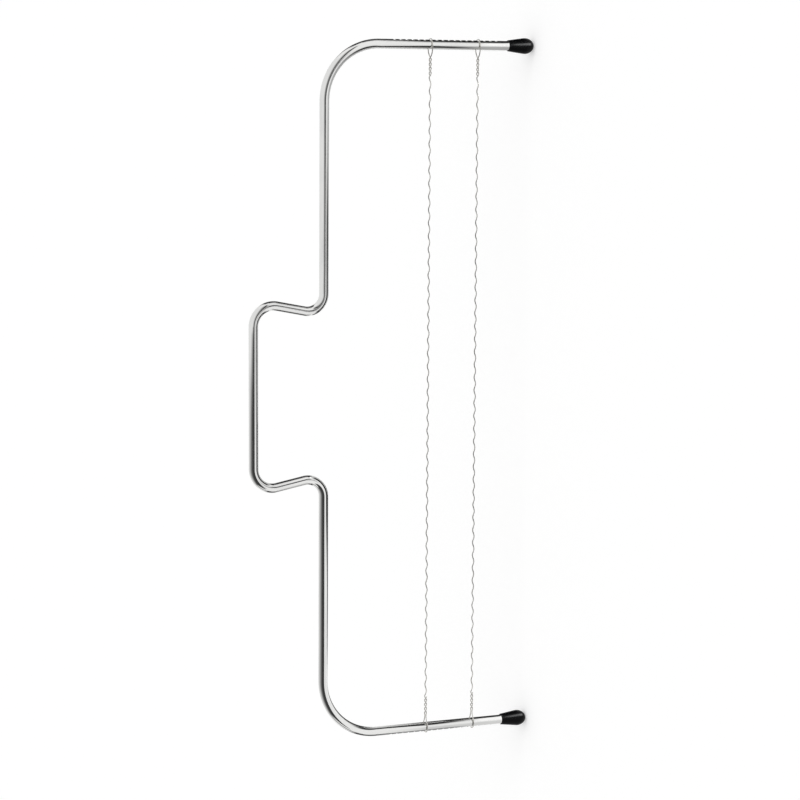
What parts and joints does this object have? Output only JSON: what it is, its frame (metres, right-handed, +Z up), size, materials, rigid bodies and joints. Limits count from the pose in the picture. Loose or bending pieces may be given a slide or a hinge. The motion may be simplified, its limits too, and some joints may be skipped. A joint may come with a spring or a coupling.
{
  "type": "cake leveler",
  "caption": "Bent steel rod bow with a stepped hand grip, capped feet and serrated cutting wires that hook into notched legs to slice cake layers level.",
  "frame": {"origin": "on the surface that the feet stand on, midway between the two feet", "axes": "+Z up from the feet to the handle, +X along the bow from the left foot to the right, +Y through the thickness of the bow"},
  "size_m": [0.3734, 0.0084, 0.1591],
  "materials": {
    "bright_rod": "bright plated steel rod, faint drawing lines along it",
    "black_cap": "soft black plastic with a satin gloss",
    "cutting_wire": "drawn stainless wire"
  },
  "bodies": {
    "bow": {"bow_frame": "bright_rod", "left_foot_cap": "black_cap", "right_foot_cap": "black_cap"},
    "lower_wire": {"lower_wire_left_loop": "cutting_wire", "lower_wire_span": "cutting_wire", "lower_wire_right_loop": "cutting_wire"},
    "upper_wire": {"upper_wire_left_loop": "cutting_wire", "upper_wire_span": "cutting_wire", "upper_wire_right_loop": "cutting_wire"}
  },
  "joints": [
    {"name": "lower_wire_slide", "type": "slide", "parent": "bow", "child": "lower_wire", "axis": [0, 0, 1], "range_m": [-0.0102, 0.017]},
    {"name": "upper_wire_slide", "type": "slide", "parent": "bow", "child": "upper_wire", "axis": [0, 0, 1], "range_m": [-0.0068, 0.0204]}
  ]
}
